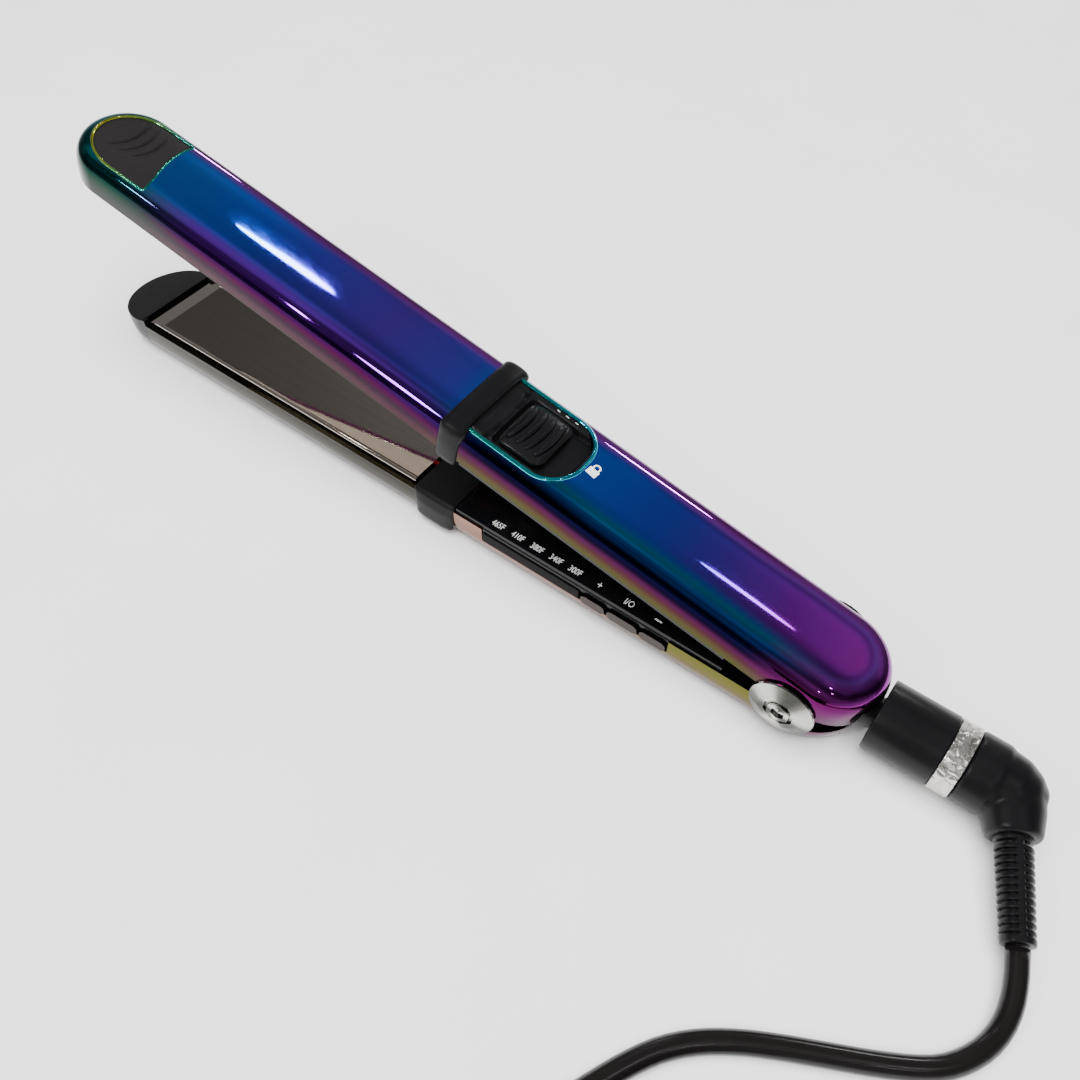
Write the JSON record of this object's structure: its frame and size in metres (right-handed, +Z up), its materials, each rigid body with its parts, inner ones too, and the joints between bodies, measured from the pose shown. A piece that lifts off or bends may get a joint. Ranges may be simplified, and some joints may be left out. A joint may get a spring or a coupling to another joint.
{
  "type": "flat iron",
  "caption": "Hinged hair straightener with titanium plates, sliding lock, side buttons and a swivel cord.",
  "frame": {"origin": "centre of the flat underside the lower arm rests on, at table height", "axes": "+X along the arms towards the cord, +Z up, -Y is the side with the buttons"},
  "size_m": [0.313, 0.1924, 0.0675],
  "materials": {
    "shell_plating": "glossy rainbow-coloured vapour plating, mostly blue and purple",
    "black_plastic": "matte black heat-proof plastic",
    "gloss_black": "smooth black plastic",
    "band_rubber": "matte black soft rubber",
    "titanium": "polished titanium-coated plate",
    "ceramic": "white ceramic",
    "silicone": "red-brown silicone",
    "wire": "heat-proof wire sleeve",
    "lens": "smoked lens",
    "lamps": "small red lamps",
    "silver": "silver-plated plastic",
    "board": "green circuit board",
    "steel": "plain steel",
    "chrome": "bright chrome",
    "brass": "brass contact rings",
    "cord_black": "smooth black cord sheath"
  },
  "bodies": {
    "lower_arm": {"lower_shell": "shell_plating", "lower_nose": "black_plastic", "lower_plate": "titanium", "lower_heater": "ceramic", "lower_carrier": "black_plastic", "lower_cushions": "silicone", "lower_leads": "wire", "lower_grip_band": "band_rubber", "control_cover": "gloss_black", "lamp_lens": "lens", "heat_lamps": "lamps", "control_board": "board", "button_switches": "steel", "cover_screws": "steel", "hinge_bracket": "black_plastic", "bracket_screws": "steel", "hinge_pin": "steel", "opening_spring": "steel", "hinge_medallions": "chrome", "lock_catch": "steel", "swivel_barrel": "black_plastic", "silver_ring": "silver", "power_cord": "cord_black", "cord_coil": "cord_black", "cord_tie": "black_plastic", "plug_lead": "cord_black", "plug_body": "black_plastic", "plug_blades": "steel"},
    "upper_arm": {"upper_shell": "shell_plating", "upper_nose": "black_plastic", "tip_insert": "black_plastic", "upper_plate": "titanium", "upper_heater": "ceramic", "upper_carrier": "black_plastic", "upper_cushions": "silicone", "upper_leads": "wire", "thermal_fuse": "steel", "upper_grip_band": "band_rubber", "slider_saddle": "black_plastic", "upper_cover": "gloss_black", "upper_cover_screws": "steel", "hinge_knuckles": "black_plastic"},
    "lock": {"lock_slider": "black_plastic", "lock_hook": "steel"},
    "swivel": {"swivel_elbow": "black_plastic", "slip_contacts": "brass", "strain_relief": "black_plastic"},
    "plus_key": {"plus_button": "silver"},
    "power_key": {"power_button": "silver"},
    "minus_key": {"minus_button": "silver"}
  },
  "joints": [
    {"name": "arm_hinge", "type": "hinge", "parent": "lower_arm", "child": "upper_arm", "pos_m": [0.1, 0, 0.0124], "axis": [0, 1, 0], "range_deg": [-10.7, 0], "stiffness_Nm_per_rad": 1.2, "springref_deg": 28.65, "deforming": ["opening_spring"]},
    {"name": "lock_slide", "type": "slide", "parent": "upper_arm", "child": "lock", "axis": [0.9826, 0, -0.1857], "range_m": [0, 0.006]},
    {"name": "plus_press", "type": "slide", "parent": "lower_arm", "child": "plus_key", "axis": [0, 1, 0], "range_m": [0, 0.0006], "stiffness_N_per_m": 900, "springref_m": -0.0006},
    {"name": "power_press", "type": "slide", "parent": "lower_arm", "child": "power_key", "axis": [0, 1, 0], "range_m": [0, 0.0006], "stiffness_N_per_m": 900, "springref_m": -0.0006},
    {"name": "minus_press", "type": "slide", "parent": "lower_arm", "child": "minus_key", "axis": [0, 1, 0], "range_m": [0, 0.0006], "stiffness_N_per_m": 900, "springref_m": -0.0006},
    {"name": "cord_swivel", "type": "hinge", "parent": "lower_arm", "child": "swivel", "pos_m": [0.145, 0, 0.0091], "axis": [1, 0, 0], "continuous": true}
  ]
}
